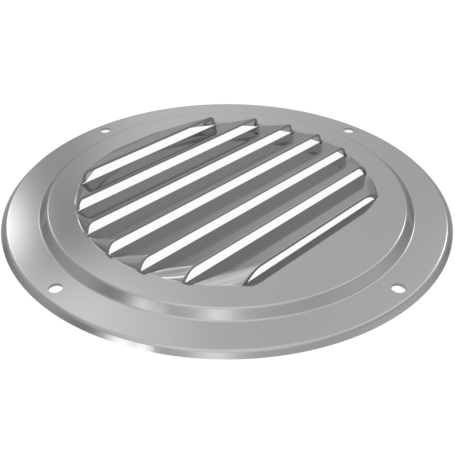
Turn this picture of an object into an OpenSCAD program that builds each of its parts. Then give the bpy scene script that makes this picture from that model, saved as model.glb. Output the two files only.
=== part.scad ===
// Round louvred vent pressed from one stainless sheet. It lies on its rim with the louvres up,
// and the louvres run along X with their openings towards -Y. All sizes are in millimetres.

/* [Sheet and rim] */
// thickness of the sheet
sheet_t = 0.75; // [0.5:0.05:1]
// outside diameter of the rim
outer_d = 125; // [122:1:180]
// height of the flange's upper face over the surface it is fixed to
flange_z = 1.28; // [1.1:0.02:2]
// radius of the bend between the flange and the rim, on the outside
rim_bend_r = 1.3; // [1.1:0.1:1.8]

/* [Screw holes] */
// diameter of the circle the holes are on
screw_pcd = 115; // [110:0.5:116]
// diameter of a hole
screw_d = 3.5; // [2.5:0.1:4.5]
// number of holes
screw_count = 4; // [3:1:8]

/* [Raised plate] */
// diameter of the raised plate, to the corner of its edge
plate_d = 100; // [96:1:104]
// height of the raised plate's face over the flange's
plate_rise = 2.12; // [1.6:0.02:3]
// radius of the bend at the plate's edge, on the outside
plate_bend_r = 1; // [0.9:0.1:1.4]
// radius of the bend at the foot of the step, on its hollow side
foot_bend_r = 0.8; // [0.4:0.1:1.2]

/* [Louvres] */
// number of louvres
louvre_count = 7; // [5:1:7]
// distance from one louvre's lip to the next
louvre_pitch = 10.8; // [9:0.1:11]
// diameter of the round field the louvres fill
field_d = 84.6; // [84:0.2:90]
// height of a lip's upper corner over the plate's face
lip_rise = 2.93; // [2:0.05:4]
// drop of a louvre's low edge under the plate's face
low_drop = 0.7; // [0.5:0.05:0.7]
// width of the rounding at a louvre's ends
end_round = 3; // [2:0.1:4]

/* [Hidden] */

$fn = 96;

// the slanted rim and step are bent down by this angle
bend_a = 45;
// straight pieces that make up a bend in the cross-section
bend_steps = 5;
// overshoot of a cutting shape past what it cuts
over = 1;

outer_r = outer_d / 2;
field_r = field_d / 2;
plate_z = flange_z + plate_rise;
lip_z = plate_z + lip_rise;
low_z = plate_z - low_drop;

// slope of a louvre, and its thickness measured straight up
slope = (lip_z - low_z) / louvre_pitch;
slab_t = sheet_t * sqrt(1 + slope * slope);

// Y of the lip of louvre k, counted from the back
function lip_y(k) = ((louvre_count - 1) / 2 - k) * louvre_pitch;

// bend centres in the rim's cross-section
bend_run = tan(bend_a / 2);
plate_c = [plate_d / 2 - plate_bend_r * bend_run, plate_z - plate_bend_r];
foot_c = [plate_d / 2 + plate_rise / tan(bend_a) + foot_bend_r * bend_run, flange_z + foot_bend_r];
rim_c = [outer_r - flange_z / tan(bend_a) - rim_bend_r * bend_run, flange_z - rim_bend_r];

function at(centre, radius, angle) = centre + radius * [cos(angle), sin(angle)];

// points along a bend from angle a0, with the sign of the turn
function arc(centre, radius, a0, turn) =
  [for (i = [0 : bend_steps]) at(centre, radius, a0 + turn * bend_a * i / bend_steps)];

// cross-section of the plain pressed sheet, from the middle to the rim
module sheet_section() {
  polygon(concat(
    [[0, plate_z]],
    arc(plate_c, plate_bend_r, 90, -1),
    arc(foot_c, foot_bend_r, 270 - bend_a, 1),
    arc(rim_c, rim_bend_r, 90, -1),
    [[outer_r, 0], [outer_r - sheet_t / sin(bend_a), 0]],
    arc(rim_c, rim_bend_r - sheet_t, 90 - bend_a, 1),
    arc(foot_c, foot_bend_r + sheet_t, 270, -1),
    arc(plate_c, plate_bend_r - sheet_t, 90 - bend_a, 1),
    [[0, plate_z - sheet_t]]
  ));
}

// round field with a rounded upper edge, taken in by inset
module dome(inset, height) {
  edge_r = end_round - inset;
  core_r = field_r - end_round;
  rotate_extrude() intersection() {
    union() {
      translate([0, -over]) square([core_r, plate_z + over + edge_r]);
      translate([0, -over]) square([core_r + edge_r, plate_z + over]);
      translate([core_r, plate_z]) circle(r = edge_r);
    }
    translate([0, -over]) square([field_r + over, height + over]);
  }
}

// a shape drawn in Y and Z, drawn out along X over the whole field
module along_x() {
  rotate([90, 0, 90]) translate([0, 0, -field_r - over])
    linear_extrude(height = 2 * (field_r + over)) children();
}

// louvres in cross-section, filled up down to the plate
module louvre_section() {
  mid_z = plate_z - sheet_t / 2;
  for (k = [0 : louvre_count - 1]) {
    back_y = lip_y(k) + louvre_pitch;
    polygon([
      [back_y, low_z],
      [lip_y(k), lip_z],
      [lip_y(k), mid_z],
      [lip_y(k) + (lip_z - slab_t - mid_z) / slope, mid_z],
      [back_y, low_z - slab_t]
    ]);
  }
}

// open space under the louvres in cross-section
module under_section() {
  for (k = [0 : louvre_count - 1])
    polygon([
      [lip_y(k) + louvre_pitch, -over],
      [lip_y(k) + louvre_pitch, low_z - slab_t],
      [lip_y(k), lip_z - slab_t],
      [lip_y(k), -over]
    ]);
}

// dip over each louvre's low edge in cross-section
module dip_section() {
  for (k = [0 : louvre_count - 1]) {
    back_y = lip_y(k) + louvre_pitch;
    polygon([
      [back_y, low_z],
      [back_y, plate_z + over],
      [back_y - low_drop / slope, plate_z]
    ]);
  }
}

module louvred_plate() {
  color("silver") difference() {
    union() {
      rotate_extrude() sheet_section();
      intersection() {
        along_x() louvre_section();
        dome(0, lip_z + over);
      }
    }
    intersection() {
      along_x() under_section();
      dome(sheet_t, lip_z + over);
    }
    intersection() {
      along_x() dip_section();
      cylinder(r = field_r - sheet_t / 10, h = lip_z + over);
    }
    for (i = [0 : screw_count - 1])
      rotate([0, 0, i * 360 / screw_count])
        translate([screw_pcd / 2, 0, -over])
          cylinder(d = screw_d, h = flange_z + 2 * over);
  }
}

louvred_plate();
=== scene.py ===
import math

import bmesh
import bpy
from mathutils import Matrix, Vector


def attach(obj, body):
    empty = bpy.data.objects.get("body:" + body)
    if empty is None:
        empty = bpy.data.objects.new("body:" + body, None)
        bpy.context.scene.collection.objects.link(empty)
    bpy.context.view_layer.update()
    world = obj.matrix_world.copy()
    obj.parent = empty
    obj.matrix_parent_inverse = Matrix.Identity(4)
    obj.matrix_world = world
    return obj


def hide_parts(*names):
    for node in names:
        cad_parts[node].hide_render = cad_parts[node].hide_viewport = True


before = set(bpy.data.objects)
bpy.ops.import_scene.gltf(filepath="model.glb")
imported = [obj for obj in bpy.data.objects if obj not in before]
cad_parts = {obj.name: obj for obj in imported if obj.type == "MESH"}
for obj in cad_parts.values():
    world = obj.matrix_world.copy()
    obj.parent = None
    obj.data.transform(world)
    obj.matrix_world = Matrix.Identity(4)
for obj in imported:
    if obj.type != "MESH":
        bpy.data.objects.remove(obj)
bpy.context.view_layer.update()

MM = 0.001

# Sizes in millimetres, the same as in the CAD source
SHEET = 0.75
OUTER_R = 62.5
FLANGE_Z = 1.28
RIM_BEND_R = 1.3
SCREW_CIRCLE_R = 57.5
SCREW_R = 1.75
SCREW_ANGLES = (0.0, 90.0, 180.0, 270.0)
PLATE_R = 50.0
PLATE_Z = 3.4
PLATE_BEND_R = 1.0
FOOT_BEND_R = 0.8
BEND_DEG = 45.0
LOUVRES = 7
PITCH = 10.8
FIELD_R = 42.3
LIP_RISE = 2.93
LOW_DROP = 0.7

# Small forms of the scene alone, in mm: the cut between a lip and the next louvre's low edge, and
# the roll of a lip, by how far it reaches back and how much it drops
KERF = 0.08
LIP_ROLL = 0.15
LIP_DROP = 0.045

# Shape of a louvre's end: where its rounding starts and where its foot is, in mm from the middle,
# and the power of the rounding. Each changes with the facet's lean, its rise per mm outwards.
CORE_R = 39.3
CORE_LEAN = -4.1
FOOT_END = 42.45
FOOT_LEAN = 1.6
ROUND_POWER = 0.5
POWER_LEAN_FRONT = 1.85
POWER_LEAN_BACK = 0.3
ROUND_STOP = 0.98
DIP_ROUND = 0.5
DIP_FOOT = 42.2
FOOT_R = 42.7

# How finely the surfaces are divided: degrees between rows, parts of a bend, of a louvre's
# rounding and of its hollow tail, and the least space in mm beside the row at the plate's level
ANGLE_STEP = 1.0
BEND_PARTS = 10
ROUND_PARTS = 16
TAIL_PARTS = 5
ROW_GAP = 0.25
# The flange round a screw hole is drawn apart, in a patch this many degrees to each side of the
# hole, and these circles divide the flange
HOLE_PATCH_DEG = 5.0
PATCH_RINGS = (54.5, 55.5, 56.5, 57.5, 58.5, 59.5, 60.4)
# Points nearer than this, in mm, are one point, and corners are told apart by this many decimals
SAME = 0.001
DECIMALS = 4
# Edges with a sharper turn than this stay sharp, and how much the large faces lead the shading
SHARP_DEG = 28.0
FACE_WEIGHT = 60

# Steel: its grey, the range of its roughness, and the size of its clouds and of its fine grain
STEEL_GREY = (0.435, 0.43, 0.422, 1.0)
STEEL_ROUGH = (0.06, 0.09)
CLOUD_SCALE = 60.0
CLOUD_DETAIL = 4.0
GRAIN_SCALE = 900.0
GRAIN_DETAIL = 3.0
GRAIN_STRENGTH = 0.02
GRAIN_DEPTH = 0.00002

# Grey of the studio by the sine of the height over the horizon, and the least grey anywhere
STUDIO_RAMP = ((0.0, 0.35), (0.25, 0.55), (0.45, 0.7), (0.7, 0.82), (1.0, 1.4))
STUDIO_LEAST = 0.1
# Soft lamps, and flags that take light away: name, azimuth from the view's axis, height and half
# width in degrees, strength
STUDIO_LAMPS = (
    ("wide box ahead", -10, 22, 14, 0.4),
    ("flag under the box ahead", -17, 16, 9, -0.4),
    ("box over the strip", -17, 40, 4, 0.7),
    ("strip ahead on the left", -23, 33, 2.5, 2.0),
    ("halo of the strip", -25, 33, 6, 0.8),
    ("flag right of the strip", -19, 35, 5, -1.0),
    ("flag under the strip", -16, 26, 4, -0.3),
    ("small box over the plate", -9, 44, 3.5, 0.2),
    ("box ahead on the right", 40, 45, 11, 0.55),
    ("spot ahead on the right", 31, 34, 3, 5.0),
    ("wide box on the far right", 108, 0, 25, 0.5),
    ("dark ceiling on the right", 97, 60, 25, -0.35),
    ("box behind the camera", -174, 45, 7, 0.7),
    ("strong lamp behind on the left", -130, 33, 5.5, 2.3),
    ("spot over the strong lamp", -140, 38, 3, 1.6),
    ("flag on the far left", -110, 30, 10, -0.3),
    ("dark ceiling on the left", -72, 55, 14, -0.35),
)

# Table: half its side in metres, how far its face lies under the rim in mm, and the colour and
# roughness with which it lights the vent
TABLE_HALF = 1.5
TABLE_SINK = 0.02
TABLE_COLOUR = (0.8, 0.8, 0.8, 1.0)
TABLE_ROUGH = 0.9
# White of the table as the camera sees it, a glow with a little grey that takes the shadow
TABLE_GLOW = 0.96
TABLE_PALE = 0.06
# Painted light of the table in the steel, a glow brighter near the vent that fades outwards, as metres
# from the vent's middle and grey
TABLE_LIGHT_NEAR = (0.03, 0.68)
TABLE_LIGHT_FAR = (0.075, 0.47)

# Camera, in metres and mm of lens. It looks along the horizontal angle VIEW_TURN, in degrees
# clockwise from +Y, down to a point between the vent's middle and the camera.
VIEW_TURN = 45.0
CAMERA_AWAY = 0.16529
CAMERA_HEIGHT = 0.1066
AIM_NEARER = 0.01392
LENS_MM = 54.28
SENSOR_MM = 36.0
CAMERA_SHIFT = 0.0011
CAMERA_CLIP = 0.01

LIP_Z = PLATE_Z + LIP_RISE
LOW_Z = PLATE_Z - LOW_DROP
SLOPE = (LIP_Z - LOW_Z) / PITCH
SLAB_T = SHEET * math.sqrt(1.0 + SLOPE * SLOPE)


class End:
    """A louvre's end at one y: a rounding from core outwards, then a hollow tail to the foot."""

    def __init__(self, y, dip):
        lean = -SLOPE * y / FIELD_R
        if dip:
            self.core = DIP_FOOT - DIP_ROUND
            self.foot = DIP_FOOT
            self.power = ROUND_POWER
        else:
            self.core = CORE_R + CORE_LEAN * lean
            self.foot = FOOT_END + FOOT_LEAN * min(lean, 0.0)
            self.power = ROUND_POWER + (POWER_LEAN_FRONT if lean > 0.0 else POWER_LEAN_BACK) * lean
        self.tail = (1.0 - ROUND_STOP ** 2) / (ROUND_STOP * self.power)
        self.stop = ROUND_STOP + self.tail
        self.width = (self.foot - self.core) / self.stop

    def outer_fall(self, u):
        """Share of a louvre's rise that is left at u, from 1 at the facet's edge to 0 on the plate."""
        if u <= ROUND_STOP:
            return (1.0 - max(u, 0.0) ** 2) ** self.power
        left = max(self.stop - u, 0.0)
        return (1.0 - ROUND_STOP ** 2) ** self.power * (left / self.tail) ** 2

    def inner_fall(self, u):
        """The same share for the lower surface, which has no tail."""
        return max(1.0 - u * u, 0.0) ** self.power

    def steps(self):
        """Where the points of a row lie, from 0 at the facet's edge to 1 at the foot."""
        turn = math.asin(ROUND_STOP)
        steps = [math.sin(turn * i / ROUND_PARTS) for i in range(ROUND_PARTS + 1)]
        steps += [ROUND_STOP + self.tail * i / TAIL_PARTS for i in range(1, TAIL_PARTS + 1)]
        return [s / self.stop for s in steps]


def lip_y(k):
    return ((LOUVRES - 1) / 2 - k) * PITCH


def rise_at(k, y):
    """Height of louvre k's facet over the plate, negative at its low edge."""
    if k >= LOUVRES:
        return 0.0
    rise = LOW_Z + SLOPE * (lip_y(k) + PITCH - y) - PLATE_Z
    return max(rise, 0.0) if k == 0 else rise


def half_width(r, y):
    return math.sqrt(max(r * r - y * y, 0.0))


def top_row(k, y):
    """Right half of the upper surface at one y, from the middle out to the foot circle."""
    rise = rise_at(k, y)
    end = End(y, rise <= 0.0)
    if k < LOUVRES and y == lip_y(k):
        rise -= LIP_DROP
    least = min(max(abs(y) - end.core, 0.0) / end.width, end.stop)
    row = []
    for s in end.steps():
        u = least + (end.stop - least) * s
        r = max(end.core + end.width * u, abs(y))
        row.append((half_width(r, y), y, PLATE_Z + rise * end.outer_fall(u)))
    row.append((half_width(FOOT_R, y), y, PLATE_Z))
    return row


def under_row(k, y):
    """Right half of the lower surface at one y, with as many points as the upper one."""
    rise = rise_at(k, y)
    drop = SLAB_T - SHEET if k < LOUVRES else 0.0
    end = End(y, rise <= 0.0)
    width = FOOT_R - end.core if rise <= 0.0 else end.width - SHEET
    least = min(max(abs(y) - end.core, 0.0) / width, 1.0)
    last = ROUND_PARTS + TAIL_PARTS
    row = []
    for i in range(last + 1):
        u = least + (1.0 - least) * math.sin(math.pi / 2 * i / (last + 1))
        r = max(end.core + width * u, abs(y))
        row.append((half_width(r, y), y, PLATE_Z - SHEET + (rise - drop) * end.inner_fall(u)))
    row.append((half_width(FOOT_R, y), y, PLATE_Z - SHEET))
    return row


def both_halves(row):
    return [(-x, y, z) for x, y, z in reversed(row)] + list(row)


class Sheet:
    """Gathers faces and joins corners that lie at the same place on the same side of a cut."""

    def __init__(self):
        self.bm = bmesh.new()
        self.seen = {}

    def vert(self, p, side=None):
        on_foot = math.hypot(p[0], p[1]) > FOOT_R - SAME / 2
        place = [round(value, DECIMALS) for value in p]
        key = (None if on_foot else side, *place)
        if key not in self.seen:
            self.seen[key] = self.bm.verts.new((p[0] * MM, p[1] * MM, p[2] * MM))
        return self.seen[key]

    def face(self, points, side=None):
        corners = []
        for p in points:
            v = self.vert(p, side)
            if v not in corners:
                corners.append(v)
        if len(corners) < 3:
            return
        if self.bm.faces.get(corners) is None:
            self.bm.faces.new(corners)

    def strip(self, a, b, side=None):
        for i in range(len(a) - 1):
            self.face([a[i], a[i + 1], b[i + 1], b[i]], side)


def band_edges(k):
    """Back and front y of band k. The last band is the plain plate in front of the louvres."""
    back = FOOT_R if k == 0 else lip_y(k - 1) - KERF
    front = -FOOT_R if k == LOUVRES else lip_y(k)
    return back, front


def band_rows(k):
    """The y of each row of band k, from its back to its front."""
    back, front = band_edges(k)
    a = math.degrees(math.asin(max(min(back / FOOT_R, 1.0), -1.0)))
    b = math.degrees(math.asin(max(min(front / FOOT_R, 1.0), -1.0)))
    parts = max(int(math.ceil((a - b) / ANGLE_STEP)), 2)
    rows = [FOOT_R * math.sin(math.radians(a + (b - a) * i / parts)) for i in range(parts + 1)]
    rows[0] = back
    rows[-1] = front
    if 0 < k < LOUVRES:
        level = lip_y(k) + PITCH - LOW_DROP / SLOPE
        rows = [y for y in rows if abs(y - level) > ROW_GAP or y in (back, front)]
        rows = sorted(rows + [level], reverse=True)
    if k < LOUVRES:
        rows = [y for y in rows if not front < y < front + 2.0 * LIP_ROLL]
        rows.insert(len(rows) - 1, front + LIP_ROLL)
    return rows


def apart(p, q):
    return math.hypot(p[0] - q[0], p[1] - q[1])


def add_field(sheet):
    """The louvres and the plate between their feet, and returns the foot circle's points."""
    right = []
    for k in range(LOUVRES + 1):
        rows = band_rows(k)
        right += rows
        tops = [both_halves(top_row(k, y)) for y in rows]
        unders = [both_halves(under_row(k, y)) for y in rows]
        for i in range(len(rows) - 1):
            sheet.strip(tops[i + 1], tops[i], k)
            sheet.strip(unders[i], unders[i + 1], k)
        if k < LOUVRES:
            sheet.strip(unders[-1], tops[-1], k)
        if k > 0:
            sheet.strip(tops[0], unders[0], k)
    points = [(half_width(FOOT_R, y), y) for y in right]
    ring = points + [(-x, y) for x, y in reversed(points)]
    kept = []
    for p in ring:
        if not kept or apart(p, kept[-1]) > SAME:
            kept.append(p)
    if apart(kept[0], kept[-1]) < SAME:
        kept.pop()
    return kept


def arc(centre, radius, start, turn):
    """Points of one bend of the section, from start degrees on, clockwise where turn is -1."""
    points = []
    for i in range(BEND_PARTS + 1):
        a = math.radians(start + turn * BEND_DEG * i / BEND_PARTS)
        points.append((centre[0] + radius * math.cos(a), centre[1] + radius * math.sin(a)))
    return points


def sections():
    """Upper and lower line of the pressed sheet from the louvres' foot to the rim, point for point."""
    bend = math.radians(BEND_DEG)
    run = math.tan(bend / 2)
    step_w = (PLATE_Z - FLANGE_Z) / math.tan(bend)
    rim_w = FLANGE_Z / math.tan(bend)
    plate_c = (PLATE_R - PLATE_BEND_R * run, PLATE_Z - PLATE_BEND_R)
    foot_c = (PLATE_R + step_w + FOOT_BEND_R * run, FLANGE_Z + FOOT_BEND_R)
    rim_c = (OUTER_R - rim_w - RIM_BEND_R * run, FLANGE_Z - RIM_BEND_R)
    # Degrees at which an outward bend starts, and the hollow one at the foot of the step
    over = 90.0
    hollow = 270.0 - BEND_DEG
    top = [(FOOT_R, PLATE_Z)]
    top += arc(plate_c, PLATE_BEND_R, over, -1)
    top += arc(foot_c, FOOT_BEND_R, hollow, 1)
    top += [(r, FLANGE_Z) for r in PATCH_RINGS]
    top += arc(rim_c, RIM_BEND_R, over, -1)
    top += [(OUTER_R, 0.0)]
    low = [(FOOT_R, PLATE_Z - SHEET)]
    low += arc(plate_c, PLATE_BEND_R - SHEET, over, -1)
    low += arc(foot_c, FOOT_BEND_R + SHEET, hollow, 1)
    low += [(r, FLANGE_Z - SHEET) for r in PATCH_RINGS]
    low += arc(rim_c, RIM_BEND_R - SHEET, over, -1)
    low += [(OUTER_R - SHEET / math.sin(bend), 0.0)]
    return top, low


def spin(line, direction):
    return [(r * direction[0], r * direction[1], z) for r, z in line]


def turned(direction, degrees):
    """Angle from degrees to direction, between -180 and 180."""
    a = math.degrees(math.atan2(direction[1], direction[0])) - degrees
    return (a + 180.0) % 360.0 - 180.0


def add_ring(sheet, circle):
    """Plate edge, step, flange with its screw holes, and rim."""
    top, low = sections()
    first = next(i for i, p in enumerate(top) if p == (PATCH_RINGS[0], FLANGE_Z))
    last = first + len(PATCH_RINGS) - 1
    directions = [(x / FOOT_R, y / FOOT_R) for x, y in circle]
    tops = [spin(top, d) for d in directions]
    lows = [spin(low, d) for d in directions]
    count = len(directions)
    in_patch = [None] * count
    for i in range(count):
        middle = [(directions[i][j] + directions[(i + 1) % count][j]) / 2 for j in (0, 1)]
        for hole, a in enumerate(SCREW_ANGLES):
            if abs(turned(middle, a)) < HOLE_PATCH_DEG:
                in_patch[i] = hole
    for i in range(count):
        n = (i + 1) % count
        if in_patch[i] is None:
            sheet.strip(tops[n], tops[i])
            sheet.strip(lows[i], lows[n])
        else:
            sheet.strip(tops[n][:first + 1], tops[i][:first + 1])
            sheet.strip(lows[i][:first + 1], lows[n][:first + 1])
            sheet.strip(tops[n][last:], tops[i][last:])
            sheet.strip(lows[i][last:], lows[n][last:])
        sheet.face([tops[i][-1], tops[n][-1], lows[n][-1], lows[i][-1]])
    for hole, a in enumerate(SCREW_ANGLES):
        parts = [i for i in range(count) if in_patch[i] == hole]
        start = next(i for i in parts if in_patch[i - 1] != hole)
        columns = [(start + i) % count for i in range(len(parts) + 1)]
        add_hole(sheet, a, columns[::-1], tops, lows, first, last)


def add_hole(sheet, angle, columns, tops, lows, first, last):
    """One screw hole, with the flange round it drawn from the patch's edge to the hole's."""
    centre = Vector((math.cos(math.radians(angle)), math.sin(math.radians(angle)))) * SCREW_CIRCLE_R
    loop = [(i, first) for i in columns]
    loop += [(columns[-1], j) for j in range(first + 1, last + 1)]
    loop += [(i, last) for i in reversed(columns[:-1])]
    loop += [(columns[0], j) for j in range(last - 1, first, -1)]
    upper = [tops[i][j] for i, j in loop]
    lower = [lows[i][j] for i, j in loop]
    edge_top = []
    edge_low = []
    for p in upper:
        away = (Vector((p[0], p[1])) - centre).normalized() * SCREW_R + centre
        edge_top.append((away.x, away.y, FLANGE_Z))
        edge_low.append((away.x, away.y, FLANGE_Z - SHEET))
    count = len(loop)
    for i in range(count):
        n = (i + 1) % count
        sheet.face([upper[n], upper[i], edge_top[i], edge_top[n]])
        sheet.face([lower[i], lower[n], edge_low[n], edge_low[i]])
        sheet.face([edge_top[n], edge_top[i], edge_low[i], edge_low[n]])


def close_cuts(sheet, circle):
    """Small walls on the foot circle, where the cut in front of a lip ends."""
    foot = [(x, y, PLATE_Z) for x, y in circle]
    base = [(x, y, PLATE_Z - SHEET) for x, y in circle]
    cuts = [lip_y(k) for k in range(LOUVRES)]
    for i in range(len(circle)):
        n = (i + 1) % len(circle)
        ends = sorted((circle[i][1], circle[n][1]))
        for cut in cuts:
            if abs(ends[1] - cut) < SAME and abs(ends[0] - cut + KERF) < SAME:
                sheet.face([foot[i], foot[n], base[n], base[i]])


def vent_mesh():
    sheet = Sheet()
    circle = add_field(sheet)
    add_ring(sheet, circle)
    close_cuts(sheet, circle)
    bmesh.ops.recalc_face_normals(sheet.bm, faces=sheet.bm.faces)
    mesh = bpy.data.meshes.new("vent_sheet")
    sheet.bm.to_mesh(mesh)
    sheet.bm.free()
    mesh.shade_smooth()
    mesh.set_sharp_from_angle(angle=math.radians(SHARP_DEG))
    return mesh


def noise(nodes, links, place, scale, detail):
    cloud = nodes.new("ShaderNodeTexNoise")
    cloud.inputs["Scale"].default_value = scale
    cloud.inputs["Detail"].default_value = detail
    links.new(place.outputs["Object"], cloud.inputs["Vector"])
    return cloud.outputs["Fac"]


def steel():
    """Polished sheet whose gloss changes a little from place to place, with a very fine bump."""
    mat = bpy.data.materials.new("steel")
    mat.use_nodes = True
    nodes = mat.node_tree.nodes
    links = mat.node_tree.links
    shader = nodes["Principled BSDF"]
    shader.inputs["Metallic"].default_value = 1.0
    shader.inputs["Base Color"].default_value = STEEL_GREY
    place = nodes.new("ShaderNodeTexCoord")
    rough = nodes.new("ShaderNodeMapRange")
    rough.inputs["To Min"].default_value = STEEL_ROUGH[0]
    rough.inputs["To Max"].default_value = STEEL_ROUGH[1]
    links.new(noise(nodes, links, place, CLOUD_SCALE, CLOUD_DETAIL), rough.inputs["Value"])
    links.new(rough.outputs["Result"], shader.inputs["Roughness"])
    bump = nodes.new("ShaderNodeBump")
    bump.inputs["Strength"].default_value = GRAIN_STRENGTH
    bump.inputs["Distance"].default_value = GRAIN_DEPTH
    links.new(noise(nodes, links, place, GRAIN_SCALE, GRAIN_DETAIL), bump.inputs["Height"])
    links.new(bump.outputs["Normal"], shader.inputs["Normal"])
    return mat


def add_vent():
    mesh = vent_mesh()
    vent = bpy.data.objects.new("vent_sheet", mesh)
    bpy.context.scene.collection.objects.link(vent)
    smooth = vent.modifiers.new("flat_faces_lead", "WEIGHTED_NORMAL")
    smooth.mode = "FACE_AREA"
    smooth.weight = FACE_WEIGHT
    smooth.keep_sharp = True
    mesh.materials.append(steel())
    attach(vent, "root")
    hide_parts("louvred_plate")


def painted_table_light(nodes, links):
    """Painted light of the table as the steel mirrors it: a glow that fades from the vent outwards."""
    place = nodes.new("ShaderNodeTexCoord")
    away = nodes.new("ShaderNodeVectorMath")
    away.operation = "LENGTH"
    links.new(place.outputs["Object"], away.inputs[0])
    fade = nodes.new("ShaderNodeMapRange")
    fade.inputs["From Min"].default_value = TABLE_LIGHT_NEAR[0]
    fade.inputs["From Max"].default_value = TABLE_LIGHT_FAR[0]
    fade.inputs["To Min"].default_value = TABLE_LIGHT_NEAR[1]
    fade.inputs["To Max"].default_value = TABLE_LIGHT_FAR[1]
    links.new(away.outputs["Value"], fade.inputs["Value"])
    painted_glow = nodes.new("ShaderNodeEmission")
    links.new(fade.outputs["Result"], painted_glow.inputs["Strength"])
    return painted_glow.outputs["Emission"]


def shown_table(nodes, links):
    """The table as the camera sees it: nearly white, and it takes a faint shadow."""
    pale = nodes.new("ShaderNodeBsdfDiffuse")
    pale.inputs["Color"].default_value = (TABLE_PALE, TABLE_PALE, TABLE_PALE, 1.0)
    glow = nodes.new("ShaderNodeEmission")
    glow.inputs["Strength"].default_value = TABLE_GLOW
    shown = nodes.new("ShaderNodeAddShader")
    links.new(glow.outputs["Emission"], shown.inputs[0])
    links.new(pale.outputs["BSDF"], shown.inputs[1])
    return shown.outputs["Shader"]


def mix(nodes, links, factor, first, second):
    both = nodes.new("ShaderNodeMixShader")
    links.new(factor, both.inputs["Fac"])
    links.new(first, both.inputs[1])
    links.new(second, both.inputs[2])
    return both.outputs["Shader"]


def white_table():
    mat = bpy.data.materials.new("white_table")
    mat.use_nodes = True
    nodes = mat.node_tree.nodes
    links = mat.node_tree.links
    shader = nodes["Principled BSDF"]
    shader.inputs["Base Color"].default_value = TABLE_COLOUR
    shader.inputs["Roughness"].default_value = TABLE_ROUGH
    path = nodes.new("ShaderNodeLightPath")
    either = nodes.new("ShaderNodeMath")
    either.operation = "MAXIMUM"
    links.new(path.outputs["Is Glossy Ray"], either.inputs[0])
    links.new(path.outputs["Is Transmission Ray"], either.inputs[1])
    shown = shown_table(nodes, links)
    direct = mix(nodes, links, path.outputs["Is Camera Ray"], shader.outputs["BSDF"], shown)
    # Glossy and transmission rays see the table's painted light, a glow that fades outwards, instead
    # of its white
    whole = mix(nodes, links, either.outputs["Value"], direct, painted_table_light(nodes, links))
    links.new(whole, nodes["Material Output"].inputs["Surface"])
    return mat


def add_floor():
    low = -TABLE_SINK * MM
    corners = [(-1, -1), (1, -1), (1, 1), (-1, 1)]
    data = bpy.data.meshes.new("floor")
    data.from_pydata([(x * TABLE_HALF, y * TABLE_HALF, low) for x, y in corners], [], [(0, 1, 2, 3)])
    floor = bpy.data.objects.new("floor", data)
    bpy.context.scene.collection.objects.link(floor)
    data.materials.append(white_table())


def lamp_direction(azimuth, height):
    """World direction of a lamp, azimuth 0 straight away from the camera and positive to its right."""
    a = math.radians(azimuth + VIEW_TURN)
    h = math.radians(height)
    return (math.sin(a) * math.cos(h), math.cos(a) * math.cos(h), math.sin(h))


def add_lamp(nodes, links, place, total, name, direction, width, strength):
    """Adds one soft lamp to the studio's grey, at half its strength width degrees off its middle."""
    dot = nodes.new("ShaderNodeVectorMath")
    dot.operation = "DOT_PRODUCT"
    dot.inputs[1].default_value = direction
    links.new(place.outputs["Generated"], dot.inputs[0])
    sharp = math.log(2.0) / (1.0 - math.cos(math.radians(width)))
    scale = nodes.new("ShaderNodeMath")
    scale.operation = "MULTIPLY_ADD"
    scale.inputs[1].default_value = sharp
    scale.inputs[2].default_value = -sharp
    links.new(dot.outputs["Value"], scale.inputs[0])
    fall = nodes.new("ShaderNodeMath")
    fall.operation = "EXPONENT"
    links.new(scale.outputs["Value"], fall.inputs[0])
    add = nodes.new("ShaderNodeMath")
    add.label = name
    add.operation = "MULTIPLY_ADD"
    add.inputs[1].default_value = strength
    links.new(fall.outputs["Value"], add.inputs[0])
    links.new(total, add.inputs[2])
    return add.outputs["Value"]


def add_studio():
    """Grey studio seen in the steel, lighter overhead, and plain white where the camera sees it."""
    world = bpy.data.worlds.new("studio")
    bpy.context.scene.world = world
    world.use_nodes = True
    nodes = world.node_tree.nodes
    links = world.node_tree.links
    back = nodes["Background"]
    place = nodes.new("ShaderNodeTexCoord")
    split = nodes.new("ShaderNodeSeparateXYZ")
    links.new(place.outputs["Generated"], split.inputs["Vector"])
    ramp = nodes.new("ShaderNodeValToRGB")
    while len(ramp.color_ramp.elements) < len(STUDIO_RAMP):
        ramp.color_ramp.elements.new(0.5)
    for element, (at, grey) in zip(ramp.color_ramp.elements, STUDIO_RAMP):
        element.position = at
        element.color = (grey, grey, grey, 1.0)
    links.new(split.outputs["Z"], ramp.inputs["Fac"])
    total = ramp.outputs["Color"]
    for name, azimuth, height, width, strength in STUDIO_LAMPS:
        direction = lamp_direction(azimuth, height)
        total = add_lamp(nodes, links, place, total, name, direction, width, strength)
    lit = nodes.new("ShaderNodeMath")
    lit.operation = "MAXIMUM"
    lit.inputs[1].default_value = STUDIO_LEAST
    links.new(total, lit.inputs[0])
    links.new(lit.outputs["Value"], back.inputs["Color"])
    back.inputs["Strength"].default_value = 1.0
    white = nodes.new("ShaderNodeBackground")
    white.inputs["Color"].default_value = (1.0, 1.0, 1.0, 1.0)
    path = nodes.new("ShaderNodeLightPath")
    greys = back.outputs["Background"]
    seen = mix(nodes, links, path.outputs["Is Camera Ray"], greys, white.outputs["Background"])
    links.new(seen, nodes["World Output"].inputs["Surface"])


def add_camera():
    data = bpy.data.cameras.new("camera")
    data.sensor_width = SENSOR_MM
    data.lens = LENS_MM
    data.clip_start = CAMERA_CLIP
    data.shift_x = CAMERA_SHIFT
    obj = bpy.data.objects.new("camera", data)
    bpy.context.scene.collection.objects.link(obj)
    turn = math.radians(VIEW_TURN)
    back = Vector((-math.sin(turn), -math.cos(turn), 0.0))
    obj.location = back * CAMERA_AWAY + Vector((0.0, 0.0, CAMERA_HEIGHT))
    aim = back * AIM_NEARER
    obj.rotation_euler = (aim - obj.location).to_track_quat("-Z", "Y").to_euler()
    bpy.context.scene.camera = obj


add_vent()
add_floor()
add_studio()
add_camera()
bpy.context.scene.view_settings.view_transform = "Standard"
